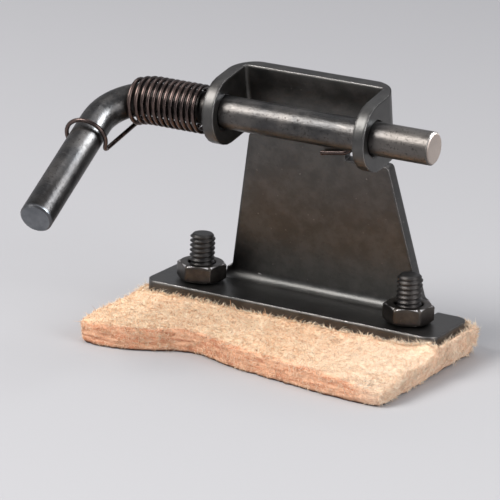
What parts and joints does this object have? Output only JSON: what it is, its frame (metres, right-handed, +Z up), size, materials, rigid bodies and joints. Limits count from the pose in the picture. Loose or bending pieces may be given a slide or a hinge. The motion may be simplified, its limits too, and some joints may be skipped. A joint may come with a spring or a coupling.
{
  "type": "spring-loaded rod holder of a leather skiving machine",
  "caption": "Pressed steel bracket bolted to a leather pad, with a bent steel rod that turns in its ears under a wound torsion spring hooked through a slot",
  "frame": {"origin": "on the leather pad's underside, midway between the two screws", "axes": "+X runs along the rod, away from its bent arm. -Y is the front, where the arm points. +Z is up, square to the pad."},
  "size_m": [0.0688, 0.0557, 0.0505],
  "materials": {
    "leather": "vegetable-tanned leather, flesh side up, with cut edges",
    "bracket_steel": "black oxide on pressed sheet, satin, with worn edges",
    "rod_steel": "burnished dark bar, with bare cut ends",
    "spring_wire": "oil-tempered wire, dark with a bronze sheen",
    "fastener_steel": "black oxide, with worn corners"
  },
  "bodies": {
    "bracket": {"bracket": "bracket_steel", "leather_pad": "leather", "screw_left": "fastener_steel", "screw_right": "fastener_steel", "nut_left": "fastener_steel", "nut_right": "fastener_steel"},
    "rod": {"pivot_rod": "rod_steel", "torsion_spring": "spring_wire"}
  },
  "joints": [
    {"name": "rod_turn", "type": "hinge", "parent": "bracket", "child": "rod", "pos_m": [0, -0.01015, 0.04264], "axis": [-1, 0, 0], "range_deg": [-30, 60], "stiffness_Nm_per_rad": 0.015, "springref_deg": 5.16, "deforming": ["torsion_spring"]}
  ]
}
